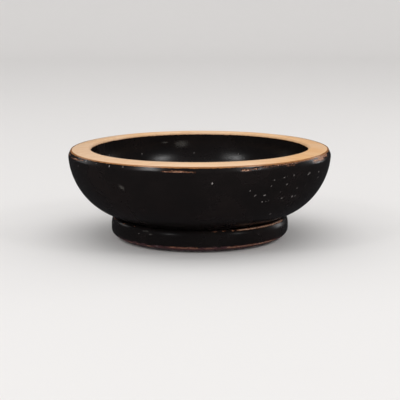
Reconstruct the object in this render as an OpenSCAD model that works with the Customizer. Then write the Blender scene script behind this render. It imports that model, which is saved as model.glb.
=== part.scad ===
// Round wooden bowl on a moulded foot ring, with a bare wood rim.
// Millimetres. +Z is up, and the origin is on the table under the centre.
// Every piece is turned about the Z axis.

/* [Bowl] */
// Outside diameter at the widest edge
bowl_d = 280; // [230:1:340]
// Height of the rim's crown above the table
bowl_h = 97.5; // [80:0.5:120]
// Height of the bevel between the widest edge and the rim
bevel_h = 5.5; // [4:0.1:7]
// How far the bevel leans inwards
bevel_w = 2.6; // [2:0.1:4]
// Width of the bowl's own lip around the rim ring
lip_w = 1.1; // [0.8:0.1:2]
// Fullness of the wall's lower part, where 2 is a plain ellipse
belly_fullness = 2.05; // [1.8:0.05:2.6]
// Fullness of the wall's upper part, where 2 is a plain ellipse
wall_fullness = 1.85; // [1.4:0.05:2.2]

/* [Hollow] */
// Thickness of the floor in the middle
floor_t = 10.5; // [8:0.5:14]
// Fullness of the hollow, where 2 is a plain ellipse
hollow_fullness = 2.3; // [2:0.1:3]

/* [Rim ring] */
// Width of the ring
rim_w = 20; // [15:0.5:26]
// Thickness of the ring at its crown
rim_t = 5; // [4:0.1:7]
// How far the crown stands above the ring's outer edge
rim_rise = 2; // [1:0.1:3]
// Rounding of the inner edge
rim_round = 3.2; // [2:0.1:3.9]

/* [Foot ring] */
// Largest diameter of the foot
foot_d = 190; // [150:1:230]
// Height of the foot's top face
foot_h = 23.5; // [19:0.5:29]
// Outer diameter of the flat that stands on the table
foot_base_d = 154; // [150:1:185]
// Width of the ring, from its largest diameter to the bore for the spigot
foot_ring_w = 20; // [17:0.5:24]
// Width of the rounded shoulder at its top
foot_shoulder_w = 4; // [3:0.1:6]
// Height of that shoulder
foot_shoulder_h = 8.5; // [6:0.5:11]
// Height of the rounded lower edge
foot_tuck_h = 9.5; // [8:0.5:13]
// Width of the lip that the spigot rests on
foot_lip_w = 4; // [3:0.5:6]
// Height of that lip, which is the depth of the recess below
foot_lip_h = 10.5; // [8:0.5:13]
// Chamfer on the recess's lower edge
foot_chamfer = 1.5; // [1:0.1:2.5]

/* [Seats and fits] */
// Width of the ring on which the belly stands on the foot
seat_w = 15; // [10:0.5:16]
// How deep the underside is dished inside the spigot
dish_depth = 1.5; // [1:0.1:3]
// Radial glue gap round the spigot and the rim ring
glue_gap = 0.1; // [0.05:0.01:0.3]

/* [Hidden] */
$fn = 96;

bowl_r = bowl_d / 2;
edge_z = bowl_h - rim_rise;
widest_z = edge_z - bevel_h;

// the seat that the rim ring is glued into
seat_z = bowl_h - rim_t;
seat_r = bowl_r - bevel_w - lip_w;
rim_outer_r = seat_r - glue_gap;
rim_inner_r = rim_outer_r - rim_w;

// the foot, its bore and the spigot that stands in it
foot_r = foot_d / 2;
foot_bore_r = foot_r - foot_ring_w;
spigot_r = foot_bore_r - glue_gap;
recess_r = foot_bore_r - foot_lip_w;
dish_r = recess_r - foot_lip_w;
belly_seat_r = foot_bore_r + seat_w;

floor_z = foot_lip_h + dish_depth + floor_t;
hollow_depth = seat_z - floor_z;

// steps along each curved outline
wall_steps = 22;
hollow_steps = 22;
curve_steps = 8;
// how far a cutter runs past the face that it opens
past = 1;

// radius of the outer wall at a share of its height: 0 at the foot's height, 1 at the widest edge
function wall_r(share) = spigot_r + (bowl_r - spigot_r) * pow(1 - pow(1 - share, wall_fullness), 1 / belly_fullness);

// a point of the outer wall at an angle: 0 is at the foot's height, 90 at the widest edge
function wall_point(angle) = [wall_r(1 - cos(angle)), foot_h + (widest_z - foot_h) * (1 - cos(angle))];

// a point of the hollow at an angle: 0 is the top of the wall, 90 the floor
function hollow_point(angle) = [
    rim_inner_r * pow(cos(angle), 2 / hollow_fullness),
    seat_z - hollow_depth * pow(sin(angle), 2 / hollow_fullness)
];

// points of a quarter ellipse round a centre, from one angle to another
function arc(centre, across, up, from, to, steps) = [
    for (i = [0:steps])
        let (angle = from + (to - from) * i / steps)
        centre + [across * cos(angle), up * sin(angle)]
];

// the belly's outside, from the seat on the foot up to the bevel
module belly() {
    rotate_extrude() polygon(concat(
        [[0, edge_z], [0, foot_h], [belly_seat_r, foot_h]],
        [for (i = [1:wall_steps]) let (point = wall_point(90 * i / wall_steps)) if (point[0] > belly_seat_r) point],
        [[bowl_r - bevel_w, edge_z]]
    ));
}

module hollow() {
    rotate_extrude() polygon(concat(
        [[0, seat_z + past], [0, floor_z]],
        [for (i = [hollow_steps - 1:-1:0]) hollow_point(90 * i / hollow_steps)],
        [[rim_inner_r, seat_z + past]]
    ));
}

// the shallow dish that is hollowed out of the underside
module dish() {
    rotate_extrude() polygon(concat(
        [[0, foot_lip_h - past], [dish_r, foot_lip_h - past]],
        arc([0, foot_lip_h], dish_r, dish_depth, 0, 90, curve_steps)
    ));
}

module bowl_body() {
    color("#17110f")
    difference() {
        union() {
            belly();
            translate([0, 0, foot_lip_h]) cylinder(h = foot_h - foot_lip_h + past, r = spigot_r);
        }
        hollow();
        translate([0, 0, seat_z]) cylinder(h = edge_z - seat_z + past, r = seat_r);
        dish();
    }
}

// bare wood ring, glued into the seat at the top of the wall
module rim_ring() {
    color("#e3b47c")
    rotate_extrude() polygon(concat(
        [[rim_inner_r, seat_z], [rim_outer_r, seat_z], [rim_outer_r, edge_z]],
        arc([rim_inner_r + rim_round, bowl_h - rim_round], rim_round, rim_round, 90, 180, curve_steps)
    ));
}

// foot, with a bore for the spigot above and an open recess below
module foot_ring() {
    base_r = foot_base_d / 2;
    shoulder_r = foot_r - foot_shoulder_w;
    shoulder_z = foot_h - foot_shoulder_h;
    color("#1a1211")
    rotate_extrude() polygon(concat(
        [[recess_r, foot_lip_h], [recess_r, foot_chamfer], [recess_r + foot_chamfer, 0]],
        arc([base_r, foot_tuck_h], foot_r - base_r, foot_tuck_h, -90, 0, curve_steps),
        arc([shoulder_r, shoulder_z], foot_shoulder_w, foot_shoulder_h, 0, 90, curve_steps),
        [[foot_bore_r, foot_h], [foot_bore_r, foot_lip_h]]
    ));
}

bowl_body();
rim_ring();
foot_ring();
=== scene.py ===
import math
import random

import bpy
import numpy as np
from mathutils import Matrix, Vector, noise


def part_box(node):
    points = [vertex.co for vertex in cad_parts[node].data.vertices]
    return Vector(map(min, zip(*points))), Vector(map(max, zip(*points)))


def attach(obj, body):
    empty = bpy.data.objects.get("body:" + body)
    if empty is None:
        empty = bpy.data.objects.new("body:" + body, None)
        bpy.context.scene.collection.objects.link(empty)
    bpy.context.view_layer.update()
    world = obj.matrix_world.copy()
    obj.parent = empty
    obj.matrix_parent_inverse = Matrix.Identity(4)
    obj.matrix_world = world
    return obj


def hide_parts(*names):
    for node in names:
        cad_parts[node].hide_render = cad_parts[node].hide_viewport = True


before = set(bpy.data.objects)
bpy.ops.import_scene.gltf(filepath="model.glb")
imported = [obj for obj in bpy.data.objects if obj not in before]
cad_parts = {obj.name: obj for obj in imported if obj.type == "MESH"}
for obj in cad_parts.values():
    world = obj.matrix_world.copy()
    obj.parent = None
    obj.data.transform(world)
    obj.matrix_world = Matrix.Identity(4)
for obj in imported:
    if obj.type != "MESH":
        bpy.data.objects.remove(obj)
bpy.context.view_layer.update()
print("the frame is loaded")

millimetre = 0.001
bodyLow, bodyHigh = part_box("bowl_body")
rimLow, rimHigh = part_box("rim_ring")
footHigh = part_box("foot_ring")[1]

camera = {
    "aim": (0.0004, 0, 0.0383),  # the point on the bowl's axis that it looks at
    "distance": 1.401,
    "pitch": 10.35,
    "roll": -0.2,
    "lens": 117,
}

studio = {
    "paper": (0.79, 0.78, 0.775, 1),
    "width": 9.0,
    "front": 4.0,
    "wallAt": 2.6,  # how far behind the bowl the floor turns up
    "sweepRadius": 1.2,
    "sweepSteps": 16,
    "wallHeight": 4.0,
    "skyColour": (1.0, 0.99, 0.98, 1),
    "skyStrength": 0.86,
    "roomColour": (0.95, 0.93, 1.0, 1),  # the dark room that the lacquer mirrors
    "roomStrength": 0.035,
}

# each light: turn round the bowl from the camera's side, height angle, distance, width, height, watts
lights = {
    "softboxLeft": (-48, 38, 1.5, 0.30, 0.22, 1.9),
    "softboxRight": (51, 38, 1.5, 0.30, 0.22, 1.9),
    "lowLeft": (-39, 16, 1.5, 0.22, 0.10, 0.28),
    "lowRight": (50, 15, 1.5, 0.28, 0.10, 0.28),
    "stripRight": (121, 12, 1.6, 0.30, 0.9, 2.4),
    "stripLeft": (-120, 22, 1.7, 0.50, 0.8, 1.0),
    "softboxAbove": (0, 82, 2.4, 2.2, 2.2, 11.0),
}


def deselectAll():
    bpy.ops.object.select_all(action="DESELECT")


def placeAround(turn, lift, distance, target):
    # a point round the target: turn 0 is the camera's side, and lift is the angle above level
    turn, lift = math.radians(turn), math.radians(lift)
    flat = math.cos(lift) * distance
    offset = Vector((math.sin(turn) * flat, -math.cos(turn) * flat, math.sin(lift) * distance))
    return Vector(target) + offset


def addCamera():
    aim = Vector(camera["aim"])
    spot = placeAround(0, camera["pitch"], camera["distance"], aim)
    bpy.ops.object.camera_add(location=spot)
    eye = bpy.context.object
    eye.name = "viewCamera"
    eye.rotation_mode = "QUATERNION"
    turned = (aim - spot).to_track_quat("-Z", "Y").to_matrix().to_4x4()
    rolled = turned @ turned.Rotation(math.radians(camera["roll"]), 4, "Z")
    eye.rotation_quaternion = rolled.to_quaternion()
    eye.data.lens = camera["lens"]
    eye.data.sensor_width = 36
    eye.data.clip_start = 0.05
    bpy.context.scene.camera = eye


def addLights():
    middle = Vector((0, 0, 0.06))
    for name, (turn, lift, distance, width, height, watts) in lights.items():
        spot = placeAround(turn, lift, distance, middle)
        bpy.ops.object.light_add(type="AREA", location=spot)
        lamp = bpy.context.object
        lamp.name = name
        lamp.data.shape = "RECTANGLE"
        lamp.data.size = width
        lamp.data.size_y = height
        lamp.data.energy = watts
        lamp.rotation_mode = "QUATERNION"
        lamp.rotation_quaternion = (middle - spot).to_track_quat("-Z", "Y")


def addFloor():
    # a flat sheet whose back edge is swept up into a wall
    deselectAll()
    depth = studio["front"] + studio["wallAt"]
    bpy.ops.mesh.primitive_plane_add(size=1)
    floor = bpy.context.object
    floor.name = "floorSweep"
    floor.scale = (studio["width"], depth, 1)
    floor.location = (0, studio["wallAt"] - depth / 2, -0.0002)
    bpy.ops.object.transform_apply(location=True, rotation=False, scale=True)
    bpy.ops.object.mode_set(mode="EDIT")
    bpy.ops.mesh.select_mode(type="EDGE")
    bpy.ops.mesh.select_all(action="DESELECT")
    bpy.ops.object.mode_set(mode="OBJECT")
    for edge in floor.data.edges:
        ends = [floor.data.vertices[i].co.y for i in edge.vertices]
        edge.select = min(ends) > studio["wallAt"] - 0.01
    bpy.ops.object.mode_set(mode="EDIT")
    stepLength = studio["sweepRadius"] * math.pi / 2 / studio["sweepSteps"]
    for step in range(studio["sweepSteps"]):
        slope = math.pi / 2 * (step + 0.5) / studio["sweepSteps"]
        along = (0, math.cos(slope) * stepLength, math.sin(slope) * stepLength)
        bpy.ops.mesh.extrude_edges_move(TRANSFORM_OT_translate={"value": along})
    bpy.ops.mesh.extrude_edges_move(TRANSFORM_OT_translate={"value": (0, 0, studio["wallHeight"])})
    bpy.ops.object.mode_set(mode="OBJECT")
    bpy.ops.object.shade_smooth()
    paper = bpy.data.materials.new("palePaper")
    paper.use_nodes = True
    shader = paper.node_tree.nodes["Principled BSDF"]
    shader.inputs["Base Color"].default_value = studio["paper"]
    shader.inputs["Roughness"].default_value = 0.9
    shader.inputs["Specular IOR Level"].default_value = 0.1
    floor.data.materials.append(paper)
    floor.visible_glossy = False  # the lacquer mirrors a dark room, not the pale floor


def lightTheSky():
    sky = bpy.data.worlds.new("studioSky")
    bpy.context.scene.world = sky
    sky.use_nodes = True
    tree = sky.node_tree
    glow = tree.nodes["Background"]
    glow.inputs["Color"].default_value = studio["skyColour"]
    glow.inputs["Strength"].default_value = studio["skyStrength"]
    room = tree.nodes.new("ShaderNodeBackground")
    room.inputs["Color"].default_value = studio["roomColour"]
    room.inputs["Strength"].default_value = studio["roomStrength"]
    path = tree.nodes.new("ShaderNodeLightPath")
    either = tree.nodes.new("ShaderNodeMixShader")
    tree.links.new(path.outputs["Is Glossy Ray"], either.inputs[0])
    tree.links.new(glow.outputs[0], either.inputs[1])
    tree.links.new(room.outputs[0], either.inputs[2])
    tree.links.new(either.outputs[0], tree.nodes["World Output"].inputs["Surface"])


addCamera()
addLights()
addFloor()
lightTheSky()
bpy.context.scene.view_settings.view_transform = "Standard"
print("the studio is set")

# spacing of an outline's points
fine = 0.6 * millimetre
middling = 1.6 * millimetre
coarse = 5.0 * millimetre


def spacedOut(points, spacing):
    # points along a chain, evenly spaced, with its two ends kept
    chain = np.array(points, float)
    lengths = np.r_[0, np.cumsum(np.linalg.norm(np.diff(chain, axis=0), axis=1))]
    count = max(1, round(lengths[-1] / spacing))
    marks = np.linspace(0, lengths[-1], count + 1)
    return list(zip(np.interp(marks, lengths, chain[:, 0]), np.interp(marks, lengths, chain[:, 1])))


def roundedCorner(before, corner, after, radius, steps=6):
    # an arc that rounds one corner of an outline
    before, corner, after = Vector(before), Vector(corner), Vector(after)
    inward, outward = (before - corner).normalized(), (after - corner).normalized()
    half = math.acos(max(-1, min(1, inward.dot(outward)))) / 2
    setback = radius / math.tan(half)
    centre = corner + (inward + outward).normalized() * radius / math.sin(half)
    start, end = corner + inward * setback - centre, corner + outward * setback - centre
    sweep = -start.angle_signed(end)
    arc = []
    for i in range(steps + 1):
        c, s = math.cos(sweep * i / steps), math.sin(sweep * i / steps)
        arc.append((centre.x + start.x * c - start.y * s, centre.y + start.x * s + start.y * c))
    return arc


def quarterEllipse(centre, across, up, startTurn, steps):
    # a quarter turn round a centre, from startTurn degrees on
    angles = [math.radians(startTurn + 90 * i / steps) for i in range(steps + 1)]
    return [(centre[0] + across * math.cos(a), centre[1] + up * math.sin(a)) for a in angles]


def joined(*chains):
    # chains laid end to end, without repeated points
    outline = []
    for chain in chains:
        for point in chain:
            if not outline or math.dist(point, outline[-1]) > 1e-5:
                outline.append(tuple(point))
    return outline


def turnOnLathe(name, outline, turns):
    # spins a closed outline round the Z axis into a solid
    deselectAll()
    bpy.ops.mesh.primitive_circle_add(vertices=len(outline), radius=0.1)
    piece = bpy.context.object
    piece.name = name
    piece.data.name = name
    for corner, (across, up) in zip(piece.data.vertices, outline):
        corner.co = (across, 0, up)
    bpy.ops.object.mode_set(mode="EDIT")
    bpy.ops.mesh.select_all(action="SELECT")
    bpy.ops.mesh.spin(steps=turns, angle=math.tau, center=(0, 0, 0), axis=(0, 0, 1))
    bpy.ops.mesh.select_all(action="SELECT")
    bpy.ops.mesh.remove_doubles(threshold=1e-6)
    bpy.ops.mesh.delete_loose()
    bpy.ops.mesh.select_all(action="SELECT")
    bpy.ops.mesh.normals_make_consistent(inside=False)
    bpy.ops.object.mode_set(mode="OBJECT")
    bpy.ops.object.shade_smooth_by_angle(angle=math.radians(50))
    print(name, "has", len(piece.data.polygons), "faces")
    return piece


# slow waves that a hand leaves in turned wood: times round the bowl, where in degrees, size
handWaves = {
    "outward": ((2, 40, 0.22 * millimetre), (3, 110, 0.20 * millimetre), (8, 15, 0.07 * millimetre),
                (17, 70, 0.03 * millimetre)),
    "upward": ((2, 75, 0.20 * millimetre), (5, 20, 0.09 * millimetre), (11, 130, 0.04 * millimetre)),
    "lean": 22,  # radians that a wave slips round for each metre of height
}


def pointsOf(piece):
    places = np.empty(len(piece.data.vertices) * 3, np.float32)
    piece.data.vertices.foreach_get("co", places)
    return places.reshape(-1, 3).astype(float)


def putPoints(piece, places):
    piece.data.vertices.foreach_set("co", places.astype(np.float32).ravel())
    piece.data.update()


def turnOf(places):
    # degrees round the bowl: 0 is towards the camera, 90 is +X
    return np.degrees(np.arctan2(places[:, 0], -places[:, 1]))


def waveByHand(piece):
    # all three pieces share these waves, so that their joints stay shut
    places = pointsOf(piece)
    turns, lean = np.radians(turnOf(places)), places[:, 2] * handWaves["lean"]
    out = sum(size * np.cos(times * (turns - math.radians(where)) + lean)
              for times, where, size in handWaves["outward"])
    up = sum(size * np.cos(times * (turns - math.radians(where)) + lean)
             for times, where, size in handWaves["upward"])
    places[:, 0] *= 1 + out / bodyHigh.x
    places[:, 1] *= 1 + out / bodyHigh.x
    radius = np.hypot(places[:, 0], places[:, 1])
    places[:, 2] += up * places[:, 2] / bodyHigh.z * radius / bodyHigh.x
    putPoints(piece, places)


def wearAlong(places, stretches):
    # wear that runs round an edge: turn from, turn to, height, half height in mm, strength
    turns, heights = turnOf(places), places[:, 2] / millimetre
    strength = np.zeros(len(places))
    for turnFrom, turnTo, height, halfTall, strong in stretches:
        middle, half = (turnFrom + turnTo) / 2, (turnTo - turnFrom) / 2
        aside = np.abs((turns - middle + 180) % 360 - 180)
        along = np.clip((half + 1.0 - aside) / 2.0, 0, 1)
        across = np.clip(1.15 - np.abs(heights - height) / halfTall, 0, 1)
        strength = np.maximum(strength, strong * along * across)
    return strength


def spotsOn(places, spots):
    # separate marks: turn, height, half length and half height in mm, tilt in degrees
    turns, heights = turnOf(places), places[:, 2] / millimetre
    radius = np.hypot(places[:, 0], places[:, 1]) / millimetre
    strength = np.zeros(len(places))
    for turn, height, halfLong, halfTall, tilt in spots:
        along = np.radians((turns - turn + 180) % 360 - 180) * radius
        up = heights - height
        c, s = math.cos(math.radians(tilt)), math.sin(math.radians(tilt))
        reach = np.hypot((along * c + up * s) / halfLong, (up * c - along * s) / halfTall)
        strength = np.maximum(strength, np.clip(1.3 - 0.8 * reach, 0, 1))
    return strength


def addAttribute(piece, name, values):
    layer = piece.data.attributes.new(name, "FLOAT", "POINT")
    layer.data.foreach_set("value", np.asarray(values, np.float32))


wearDepth = {
    "chip": 0.8,  # shares of the piece's own chip depth
    "scuffAndGlint": 0.3,
    "chipSteepness": 1.5,
    "lumpiness": 0.8,
    "lumpSize": 1.7 * millimetre,
}


def markWearAndHighlights(piece, chipped, scuffedAndGlinting, dustAndHighlight, rubbed, depth):
    # chips are sunk into the surface, and every kind of wear, with the patches of painted highlight and
    # the glints painted into scuffs, is left on it as an attribute
    normals = np.empty(len(piece.data.vertices) * 3, np.float32)
    piece.data.vertex_normals.foreach_get("vector", normals)
    places = pointsOf(piece)
    sunk = wearDepth["chip"] * depth * np.clip(chipped, 0, 1) ** wearDepth["chipSteepness"]
    sunk += wearDepth["scuffAndGlint"] * depth * scuffedAndGlinting
    for i in np.nonzero(chipped > 0)[0]:
        sunk[i] *= 1 + wearDepth["lumpiness"] * noise.noise(Vector(places[i]) / wearDepth["lumpSize"])
    putPoints(piece, places - normals.reshape(-1, 3) * sunk[:, None])
    for name, values in (("chipped", chipped), ("scuffedAndGlinting", scuffedAndGlinting), ("dustAndHighlight", dustAndHighlight), ("rubbed", rubbed)):
        addAttribute(piece, name, values)


def strewnStretches(count, turnsFrom, turnsTo, heights, halfTall, seed):
    # stretches of edge wear at random, most of them short
    dice = random.Random(seed)
    found = []
    for _ in range(count):
        start = dice.uniform(turnsFrom, turnsTo)
        found.append((start, start + 1 + 9 * dice.random() ** 2, dice.uniform(*heights),
                      halfTall * dice.uniform(0.7, 1.3), dice.uniform(0.7, 1.1)))
    return found


def strewnSpots(count, turnsFrom, turnsTo, heights, seed):
    # spots at random, most of them small
    dice = random.Random(seed)
    return [(dice.uniform(turnsFrom, turnsTo), dice.uniform(*heights), 0.5 + dice.random() ** 3,
             0.5 + 0.7 * dice.random() ** 2, dice.uniform(-35, 35)) for _ in range(count)]


bowlShape = {
    "turns": 560,
    "bevelHeight": 5.5 * millimetre,
    "bevelWidth": 2.6 * millimetre,
    "arrisRound": 6.5 * millimetre,  # rounding of the widest edge
    "lipRound": 0.5 * millimetre,
    "wallFullness": 1.85,
    "bellyFullness": 2.05,
    "seatWidth": 15 * millimetre,  # of the ring on which the belly stands
    "hemHeight": 2.7 * millimetre,  # where the wall's curve starts above the foot
    "fineBelow": 6 * millimetre,  # below the widest edge, where the wall's points grow finer
    "arrisBelow": 2.2 * millimetre,  # below the widest edge, where its rounding starts
    "lipWear": 1.6 * millimetre,  # how far down the lip's wear reaches
    "spigotIn": 20.1 * millimetre,  # from the foot's largest radius
    "floorRise": 12 * millimetre,  # from the spigot's end to the hollow's floor
    "dishDepth": 1.5 * millimetre,
    "dishRadius": 67 * millimetre,
    "glueGap": 0.1 * millimetre,
    "hollowFullness": 2.3,
    "hollowSeen": 45 * millimetre,  # the hollow is finer above this height
    "chipDepth": 0.45 * millimetre,
}

# along the widest edge: turn from, turn to, height, half height, strength
bowlEdgeWear = [
    (-15, -2, 91.0, 0.8, 0.9), (-12, -6, 91.8, 0.7, 0.8), (17, 21, 91.5, 1.3, 1.0),
    (22, 25, 92.4, 1.0, 0.95), (26, 33, 93.4, 0.8, 0.7), (33, 47, 93.8, 0.9, 0.8),
    (38, 44, 92.0, 0.7, 0.7), (47, 58, 94.2, 0.9, 0.75), (56, 67, 92.0, 2.5, 0.95),
    (60, 74, 93.4, 2.0, 1.0),
]

# scuffs on the wall, painted pale partly as real scuffs and partly as glints off dents: turn, height, half
# length, half height, tilt
bowlSpots = [
    (-56, 93, 0.9, 1.2, 0), (-48, 93, 0.8, 0.7, 0), (-40, 92.5, 0.6, 1.5, 20), (-33, 93, 1.2, 0.7, -30),
    (5, 79.5, 0.8, 1.9, -20), (21, 71, 0.7, 1.4, 25), (24, 65, 1.6, 0.8, 35), (32, 79, 1.4, 0.7, -30),
    (37, 81, 0.9, 0.6, 0), (37, 72.5, 0.8, 0.6, 0), (52, 79, 0.9, 0.9, 0), (52, 68, 0.9, 0.7, 0),
    (47, 58.5, 0.8, 0.7, 0), (60, 51, 0.9, 0.8, 0), (37, 41, 0.8, 1.0, 0), (-44, 64.5, 0.6, 0.6, 0),
]

# dusty patches, in the same order
bowlDust = [(-169.5, 83.5, 8.5, 4.2, 0), (-160, 86, 4.0, 1.4, 0), (-34, 72, 4.0, 2.2, -30)]


def wallRadius(height):
    # the wall is a quarter of a full ellipse, from the foot's top to the widest edge
    share = (height - footHigh.z) / (bodyHigh.z - bowlShape["bevelHeight"] - footHigh.z)
    spigot = footHigh.x - bowlShape["spigotIn"]
    full = 1 - max(0, 1 - share) ** bowlShape["wallFullness"]
    return spigot + (bodyHigh.x - spigot) * full ** (1 / bowlShape["bellyFullness"])


def wallStretch(low, high):
    # points closer together at the lower end, where the wall turns fastest
    return [(wallRadius(h), h) for h in low + (high - low) * np.linspace(0, 1, 60) ** 2]


def bowlOutline():
    top, widest = bodyHigh.z, bodyHigh.z - bowlShape["bevelHeight"]
    seatRadius, seatHeight = rimHigh.x + bowlShape["glueGap"], rimLow.z
    hollowRadius = rimShape["innerRadius"]
    spigot = footHigh.x - bowlShape["spigotIn"]
    bellySeat = spigot + bowlShape["glueGap"] + bowlShape["seatWidth"]
    dish = [(bowlShape["dishRadius"] * math.sin(a), bodyLow.z + bowlShape["dishDepth"] * math.cos(a))
            for a in np.linspace(0, math.pi / 2, 12)]
    under = [dish[-1], (spigot, bodyLow.z), (spigot, footHigh.z), (bellySeat, footHigh.z)]
    fineFrom = widest - bowlShape["fineBelow"]
    wall = wallStretch(footHigh.z + bowlShape["hemHeight"], fineFrom)
    upperWall = wallStretch(fineFrom, widest - bowlShape["arrisBelow"])
    lip = (bodyHigh.x - bowlShape["bevelWidth"], top)
    seat = [(seatRadius, top), (seatRadius, seatHeight), (hollowRadius, seatHeight)]
    arris = roundedCorner(upperWall[-1], (bodyHigh.x, widest), lip, bowlShape["arrisRound"])
    lipArc = roundedCorner((bodyHigh.x, widest), lip, seat[0], bowlShape["lipRound"], 4)
    power = 2 / bowlShape["hollowFullness"]
    floor = bodyLow.z + bowlShape["floorRise"]
    deep = seatHeight - floor
    hollow = [(hollowRadius * math.cos(a) ** power, seatHeight - deep * math.sin(a) ** power)
              for a in np.linspace(0, math.pi / 2, 160)[:-1]]
    seen = [p for p in hollow if p[1] > bowlShape["hollowSeen"]]
    hidden = [seen[-1]] + [p for p in hollow if p[1] <= bowlShape["hollowSeen"]] + [(0, floor)]
    return joined(
        spacedOut(dish, coarse),
        spacedOut(under, coarse),
        spacedOut(under[-1:] + wall, middling),
        spacedOut(upperWall + arris + lipArc[:1], fine),
        lipArc,
        seat[:1],
        spacedOut(seat, coarse),
        spacedOut([seat[-1]] + seen, 1.4 * middling),
        spacedOut(hidden, coarse),
    )


def makeBowl():
    bowl = turnOnLathe("bowlShell", bowlOutline(), bowlShape["turns"])
    waveByHand(bowl)
    places = pointsOf(bowl)
    radius = np.hypot(places[:, 0], places[:, 1])
    # the sides and the back have no chosen marks, so theirs are strewn
    chipped = wearAlong(places, bowlEdgeWear + strewnStretches(22, 80, 300, (91, 93), 0.8, 3))
    strewn = strewnSpots(22, 28, 64, (56, 84), 4) + strewnSpots(40, 75, 300, (36, 88), 5)
    scuffedAndGlinting = spotsOn(places, bowlSpots + strewn)
    dustAndHighlight = spotsOn(places, bowlDust + strewnSpots(4, 100, 270, (50, 85), 8))
    lipWorn = np.clip(1 - (bodyHigh.z - places[:, 2]) / bowlShape["lipWear"], 0, 1)
    outside = radius > rimHigh.x
    markWearAndHighlights(bowl, chipped * outside, scuffedAndGlinting, dustAndHighlight, lipWorn * outside, bowlShape["chipDepth"])
    return bowl


rimShape = {
    "turns": 560,
    "innerRadius": rimHigh.x - 20 * millimetre,
    "innerRound": 3.2 * millimetre,
    "outerRound": 0.5 * millimetre,
    "crownIn": 6.0 * millimetre,  # from the inner edge to the highest point
    "lacquerDown": 3.0 * millimetre,  # from the crown to the lacquer's edge inside
    "lacquerIn": 0.1 * millimetre,  # how far the lacquer runs in over the outer edge
    "lacquerFade": 2 * millimetre,  # width over which its edge is ragged
    "topFall": 1.5,  # above 1, the top falls away faster near the outer edge
    "insideDrop": 0.15 * millimetre,  # of the inner corner below the crown
}


def rimOutline():
    inner, outer = rimShape["innerRadius"], rimHigh.x
    low, crown, edge = rimLow.z, rimHigh.z, bodyHigh.z
    crownRadius = inner + rimShape["crownIn"]
    top = [(crownRadius + (outer - crownRadius) * t, crown - (crown - edge) * t ** rimShape["topFall"])
           for t in np.linspace(0, 1, 16)]
    insideCorner = (inner, crown - rimShape["insideDrop"])
    inside = roundedCorner((inner, low), insideCorner, top[0], rimShape["innerRound"], 10)
    outside = roundedCorner(top[-2], top[-1], (outer, low), rimShape["outerRound"], 4)
    return joined(
        spacedOut([(outer, low), (inner, low)], coarse),
        spacedOut([(inner, low), inside[0]], fine),
        inside,
        spacedOut([inside[-1]] + top[:-1] + outside[:1], 1.5 * fine),
        outside,
        spacedOut([outside[-1], (outer, low)], middling)[:-1],
    )


def makeRim():
    rim = turnOnLathe("rimBand", rimOutline(), rimShape["turns"])
    places = pointsOf(rim)
    radius = np.hypot(places[:, 0], places[:, 1])
    down = rimHigh.z - places[:, 2]
    fade = rimShape["lacquerFade"]
    inside = np.clip((down - rimShape["lacquerDown"]) / fade + 0.5, 0, 1)
    inside *= radius < rimShape["innerRadius"] + rimShape["innerRound"] + 0.1 * millimetre
    outside = np.clip((radius - rimHigh.x + rimShape["lacquerIn"]) / fade + 0.5, 0, 1)
    addAttribute(rim, "lacquered", np.maximum(inside, outside))
    waveByHand(rim)
    return rim


footShape = {
    "turns": 480,
    "ringWidth": 20 * millimetre,
    "lipWidth": 4 * millimetre,
    "lipHeight": 10.4 * millimetre,  # just below the spigot's end
    "baseRadius": 77 * millimetre,
    "tuckHeight": 9.5 * millimetre,
    "shoulderWidth": 4 * millimetre,
    "shoulderHeight": 8.5 * millimetre,
    "chamfer": 1.5 * millimetre,
    "chipDepth": 0.4 * millimetre,
    "redBand": 7.5 * millimetre,  # height of the rubbed lower edge
}

# along the top edge and the lower edge: turn from, turn to, height, half height, strength
footTopWear = [
    (24, 70, 22.4, 1.0, 1.3), (20, 23, 22.4, 0.8, 1.0), (14, 16, 22.4, 0.7, 0.9),
    (8, 11, 22.4, 0.7, 0.9),
]
footLowWear = [(-20, -1, 5.6, 1.5, 0.9), (3, 9, 5.2, 1.2, 0.8), (17, 58, 5.2, 1.7, 0.95)]

# scuffs, pale partly as painted glint, and patches of painted highlight on the foot's shoulder in the dust
# colour: turn, height, half length, half height, tilt
footSpots = [
    (-41, 16.5, 0.7, 0.7, 0), (-28, 5.5, 1.0, 0.8, 0), (40, 16, 0.5, 1.4, 0), (13, 10.5, 0.4, 1.0, 0),
]
footPaintedHighlights = [(-36, 20, 4.0, 0.8, 0), (-32, 17.5, 3.0, 0.8, 0)]


def footOutline():
    radius, top = footHigh.x, footHigh.z
    bore = radius - footShape["ringWidth"]
    recess = bore - footShape["lipWidth"]
    lip, chamfer, base = footShape["lipHeight"], footShape["chamfer"], footShape["baseRadius"]
    tuckUp = footShape["tuckHeight"]
    shoulderIn, shoulderUp = footShape["shoulderWidth"], footShape["shoulderHeight"]
    tuck = quarterEllipse((base, tuckUp), radius - base, tuckUp, -90, 16)
    shoulder = quarterEllipse((radius - shoulderIn, top - shoulderUp), shoulderIn, shoulderUp, 0, 16)
    return joined(
        spacedOut([(bore, lip), (recess, lip)], middling),
        spacedOut([(recess, lip), (recess, chamfer), (recess + chamfer, 0), (base, 0)], middling),
        spacedOut(tuck + shoulder, 1.2 * fine),
        spacedOut([shoulder[-1], (bore, top), (bore, lip)], middling)[:-1],
    )


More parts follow.
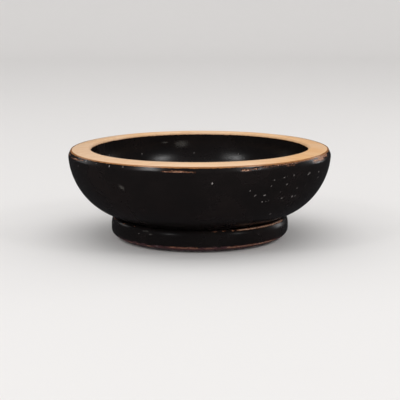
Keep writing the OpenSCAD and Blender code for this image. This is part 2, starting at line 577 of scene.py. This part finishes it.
def makeFoot():
    foot = turnOnLathe("footRing", footOutline(), footShape["turns"])
    waveByHand(foot)
    places = pointsOf(foot)
    outside = np.hypot(places[:, 0], places[:, 1]) > footShape["baseRadius"] + 1 * millimetre
    edges = footTopWear + strewnStretches(16, 85, 330, (22.2, 22.7), 0.6, 21)
    edges += footLowWear + strewnStretches(20, 62, 325, (4.0, 5.0), 0.7, 22)
    scuffedAndGlinting = spotsOn(places, footSpots + strewnSpots(12, 75, 300, (7, 19), 23))
    rubbed = np.clip(1.2 - places[:, 2] / footShape["redBand"], 0, 1)
    # on the foot, the dust mark holds patches of painted highlight on the shoulder
    markWearAndHighlights(foot, wearAlong(places, edges) * outside, scuffedAndGlinting, spotsOn(places, footPaintedHighlights), rubbed,
           footShape["chipDepth"])
    return foot


lacquerLook = {
    "black": (0.0080, 0.0064, 0.0063, 1),
    "brown": (0.0128, 0.0088, 0.0084, 1),
    "glossy": 0.20,
    "dull": 0.32,
}

woodLook = {
    "pale": (0.90, 0.64, 0.43, 1),
    "golden": (0.84, 0.49, 0.23, 1),
    "brown": (0.52, 0.29, 0.14, 1),
    "streak": (0.66, 0.36, 0.17, 1),
    "stain": (0.30, 0.09, 0.025, 1),  # where the lacquer has soaked into the edge
    "glossy": 0.36,
    "dull": 0.56,
}

wearLook = {
    "bareWood": (0.72, 0.47, 0.33, 1),
    "orange": (0.36, 0.11, 0.035, 1),
    "lipWood": (0.42, 0.18, 0.06, 1),
    # pale scuffs, partly painted glint off dents
    "scuffAndGlint": (0.36, 0.33, 0.32, 1),
    "dustAndHighlightTone": (0.070, 0.066, 0.060, 1),
    "redBrown": (0.100, 0.044, 0.048, 1),
}


def addNode(tree, kind, **settings):
    node = tree.nodes.new(kind)
    for name, value in settings.items():
        setattr(node, name, value)
    return node


def plug(tree, socket, value):
    if isinstance(value, bpy.types.NodeSocket):
        tree.links.new(value, socket)
    else:
        socket.default_value = value


def feed(tree, node, **inputs):
    # sets or links a node's inputs by name, with _ for a space
    for name, value in inputs.items():
        plug(tree, node.inputs[name.replace("_", " ")], value)
    return node


def worked(tree, operation, first, second, clamp=False):
    node = addNode(tree, "ShaderNodeMath", operation=operation, use_clamp=clamp)
    plug(tree, node.inputs[0], first)
    plug(tree, node.inputs[1], second)
    return node.outputs[0]


def mixed(tree, share, first, second):
    node = addNode(tree, "ShaderNodeMix", data_type="RGBA")
    for index, value in ((0, share), (6, first), (7, second)):
        plug(tree, node.inputs[index], value)
    return node.outputs[2]


def blended(tree, share, first, second):
    node = addNode(tree, "ShaderNodeMix", data_type="FLOAT")
    for index, value in ((0, share), (2, first), (3, second)):
        plug(tree, node.inputs[index], value)
    return node.outputs[0]


def ranged(tree, value, low, high, toLow=0.0, toHigh=1.0):
    node = addNode(tree, "ShaderNodeMapRange", interpolation_type="SMOOTHSTEP")
    feed(tree, node, Value=value, From_Min=low, From_Max=high, To_Min=toLow, To_Max=toHigh)
    return node.outputs[0]


def speckle(tree, scale, detail=3.0, stretch=(1, 1, 1), roughness=0.5):
    # noise on the piece's own coordinates
    where = addNode(tree, "ShaderNodeTexCoord").outputs["Object"]
    mapping = feed(tree, addNode(tree, "ShaderNodeMapping"), Vector=where, Scale=stretch)
    cloud = addNode(tree, "ShaderNodeTexNoise")
    feed(tree, cloud, Vector=mapping.outputs[0], Scale=scale, Detail=detail, Roughness=roughness)
    return cloud.outputs[0]


def newGroup(name, takes, gives):
    group = bpy.data.node_groups.new(name, "ShaderNodeTree")
    for socketName, kind, value in takes:
        socket = group.interface.new_socket(socketName, in_out="INPUT", socket_type=kind)
        socket.default_value = value
    for socketName, kind in gives:
        group.interface.new_socket(socketName, in_out="OUTPUT", socket_type=kind)
    return group, group.nodes.new("NodeGroupInput").outputs, group.nodes.new("NodeGroupOutput").inputs


number, colourSocket = "NodeSocketFloat", "NodeSocketColor"


def raggedGroup():
    # turns a soft mark into a torn one: Mask is all of it, and Core is its inner part
    group, taken, given = newGroup(
        "raggedMark",
        [("Strength", number, 0), ("Grain", number, 700), ("Tear", number, 1), ("Threshold", number, 0.5),
         ("Core Step", number, 0.2)],
        [("Mask", number), ("Core", number)])
    flakes = speckle(group, taken["Grain"], 4.0, (1, 1, 2.6), 0.6)
    torn = worked(group, "MULTIPLY", worked(group, "SUBTRACT", flakes, 0.5), taken["Tear"])
    raised = worked(group, "SUBTRACT", worked(group, "ADD", taken["Strength"], torn), taken["Threshold"])
    present = ranged(group, taken["Strength"], 0.02, 0.12)
    deeper = worked(group, "SUBTRACT", raised, taken["Core Step"])
    for share, socket in ((raised, given["Mask"]), (deeper, given["Core"])):
        crisp = worked(group, "MULTIPLY", share, 9.0, clamp=True)
        group.links.new(worked(group, "MULTIPLY", crisp, present), socket)
    return group


def lacquerGroup():
    # black-brown lacquer: cloudy patches, the grain under it and filled pores
    group, taken, given = newGroup(
        "blackLacquer",
        [("Black", colourSocket, lacquerLook["black"]), ("Brown", colourSocket, lacquerLook["brown"]),
         ("Glossy", number, lacquerLook["glossy"]), ("Dull", number, lacquerLook["dull"])],
        [("Color", colourSocket), ("Roughness", number), ("Height", number)])
    cloudy = ranged(group, speckle(group, 20, 4), 0.40, 0.68)
    fibres = speckle(group, 60, 5, (0.35, 5, 5))
    pores = ranged(group, speckle(group, 480, 2, (0.2, 1, 1)), 0.62, 0.74)
    tone = worked(group, "MULTIPLY", cloudy, ranged(group, fibres, 0.3, 0.7, 0.4, 1.0), clamp=True)
    group.links.new(mixed(group, tone, taken["Black"], taken["Brown"]), given["Color"])
    cloudyMatt, grainMatt = worked(group, "MULTIPLY", cloudy, 0.6), worked(group, "MULTIPLY", fibres, 0.4)
    matt = worked(group, "ADD", cloudyMatt, grainMatt, clamp=True)
    group.links.new(blended(group, matt, taken["Glossy"], taken["Dull"]), given["Roughness"])
    height = worked(group, "SUBTRACT", fibres, worked(group, "MULTIPLY", pores, 0.5))
    group.links.new(height, given["Height"])
    return group


def woodGroup():
    # bare pale wood, its grain running across the bowl, warmer to the right and browner to the left, which
    # is partly the wood's tone and partly painted light and shade, and darker towards the far side, which
    # is painted shade
    group, taken, given = newGroup(
        "bareWood",
        [("Pale", colourSocket, woodLook["pale"]), ("Golden", colourSocket, woodLook["golden"]),
         ("Brown", colourSocket, woodLook["brown"]), ("Streak", colourSocket, woodLook["streak"])],
        [("Color", colourSocket), ("Roughness", number), ("Height", number)])
    bands = speckle(group, 9, 4, (0.5, 3.5, 3.5))
    fibres = speckle(group, 150, 6, (0.10, 3.2, 3.2), 0.65)
    flecks = ranged(group, speckle(group, 300, 3, (0.12, 2.5, 2.5)), 0.60, 0.74)
    blotch = speckle(group, 16, 3)
    parts = addNode(group, "ShaderNodeSeparateXYZ")
    group.links.new(addNode(group, "ShaderNodeTexCoord").outputs["Object"], parts.inputs[0])
    # painted light and shade by position: the right is warmer and the left browner, each partly, and the
    # far side is darker and more golden
    rightToneAndLight = ranged(group, parts.outputs["X"], 0.01, 0.11)
    leftToneAndShade = ranged(group, parts.outputs["X"], -0.03, -0.12)
    farSidePaintedShade = ranged(group, parts.outputs["Y"], 0.0, 0.12)
    warm = worked(group, "MULTIPLY", rightToneAndLight, 0.65)
    for share, amount in ((farSidePaintedShade, 0.35), (worked(group, "SUBTRACT", blotch, 0.5), 1.6),
                          (worked(group, "SUBTRACT", bands, 0.5), 1.8)):
        warm = worked(group, "ADD", warm, worked(group, "MULTIPLY", share, amount))
    warm = worked(group, "ADD", warm, 0.10, clamp=True)
    base = mixed(group, warm, taken["Pale"], taken["Golden"])
    browner = worked(group, "ADD", worked(group, "MULTIPLY", leftToneAndShade, 0.16),
                     worked(group, "MULTIPLY", farSidePaintedShade, 0.04))
    base = mixed(group, browner, base, taken["Brown"])
    streaks = worked(group, "MULTIPLY", ranged(group, fibres, 0.46, 0.64), 0.42)
    base = mixed(group, streaks, base, taken["Streak"])
    base = mixed(group, worked(group, "MULTIPLY", flecks, 0.45), base, taken["Brown"])
    group.links.new(base, given["Color"])
    roughness = ranged(group, fibres, 0.3, 0.7, woodLook["glossy"], woodLook["dull"])
    group.links.new(roughness, given["Roughness"])
    height = worked(group, "SUBTRACT", fibres, worked(group, "MULTIPLY", flecks, 0.6))
    group.links.new(height, given["Height"])
    return group


groups = {"ragged": raggedGroup(), "lacquer": lacquerGroup(), "wood": woodGroup()}


def useGroup(tree, which, **inputs):
    node = addNode(tree, "ShaderNodeGroup", node_tree=groups[which])
    return feed(tree, node, **inputs).outputs


def painted(tree, name):
    node = addNode(tree, "ShaderNodeAttribute", attribute_name=name, attribute_type="GEOMETRY")
    return node.outputs["Fac"]


def ragged(tree, attribute, grain, tear, threshold, coreStep=0.2):
    return useGroup(tree, "ragged", Strength=painted(tree, attribute), Grain=grain, Tear=tear,
                    Threshold=threshold, Core_Step=coreStep)


def newFinish(name, specular):
    finish = bpy.data.materials.new(name)
    finish.use_nodes = True
    shader = finish.node_tree.nodes["Principled BSDF"]
    shader.inputs["Specular IOR Level"].default_value = specular
    return finish, finish.node_tree, shader


def finishSurface(tree, shader, colour, roughness, height, strength):
    bump = addNode(tree, "ShaderNodeBump")
    feed(tree, bump, Height=height, Strength=strength, Distance=0.3 * millimetre)
    feed(tree, shader, Base_Color=colour, Roughness=roughness, Normal=bump.outputs[0])


def wornLacquer(name, rubbedColour, rubbedShare):
    # lacquer with a rubbed edge, dust, patches of painted highlight in the dust colour, pale scuffs that
    # are partly painted glint, and chips down to bare wood
    finish, tree, shader = newFinish(name, 0.45)
    lacquer = useGroup(tree, "lacquer")
    rubbed = ragged(tree, "rubbed", 260.0, 0.9, 0.30)
    dustAndHighlightTone = ragged(tree, "dustAndHighlight", 1000.0, 3.0, 0.70)
    scuffAndGlint = ragged(tree, "scuffedAndGlinting", 1100.0, 2.2, 0.60)
    chip = ragged(tree, "chipped", 1000.0, 4.6, 0.76, 0.32)
    rubbedAway = worked(tree, "MULTIPLY", rubbed["Mask"], rubbedShare)
    colour = mixed(tree, rubbedAway, lacquer["Color"], rubbedColour)
    # the dust colour also paints the highlight patches on the foot's shoulder
    colour = mixed(tree, dustAndHighlightTone["Mask"], colour, wearLook["dustAndHighlightTone"])
    # pale scuff colour, partly painted glint off dents
    colour = mixed(tree, worked(tree, "MULTIPLY", scuffAndGlint["Mask"], 0.85), colour, wearLook["scuffAndGlint"])
    colour = mixed(tree, chip["Mask"], colour, wearLook["orange"])
    colour = mixed(tree, chip["Core"], colour, wearLook["bareWood"])
    worn = worked(tree, "MAXIMUM", chip["Mask"], scuffAndGlint["Mask"])
    roughness = blended(tree, worn, lacquer["Roughness"], 0.6)
    height = worked(tree, "SUBTRACT", lacquer["Height"], worked(tree, "MULTIPLY", worn, 0.8))
    finishSurface(tree, shader, colour, roughness, height, 0.14)
    return finish


def rimFinish():
    # bare wood, with the lacquer's ragged edge inside and out
    finish, tree, shader = newFinish("bareRimWood", 0.35)
    wood, lacquer = useGroup(tree, "wood"), useGroup(tree, "lacquer")
    lapped = ragged(tree, "lacquered", 420.0, 0.85, 0.50, 0.14)
    colour = mixed(tree, worked(tree, "MULTIPLY", lapped["Mask"], 0.85), wood["Color"], woodLook["stain"])
    colour = mixed(tree, lapped["Core"], colour, lacquer["Color"])
    roughness = blended(tree, lapped["Core"], wood["Roughness"], lacquer["Roughness"])
    finishSurface(tree, shader, colour, roughness, wood["Height"], 0.2)
    return finish


def dress(piece, finish, node):
    piece.data.materials.clear()
    piece.data.materials.append(finish)
    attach(piece, "root")
    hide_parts(node)


dress(makeBowl(), wornLacquer("bowlLacquer", wearLook["lipWood"], 0.85), "bowl_body")
dress(makeRim(), rimFinish(), "rim_ring")
dress(makeFoot(), wornLacquer("footLacquer", wearLook["redBrown"], 0.9), "foot_ring")
print("all pieces are finished")

# the two low lights put highlights on the foot's shoulder and nowhere else
footOnly = bpy.data.collections.new("footOnly")
footOnly.objects.link(bpy.data.objects["footRing"])
for name in ("lowLeft", "lowRight"):
    bpy.data.objects[name].light_linking.receiver_collection = footOnly
print("the low lights are aimed")
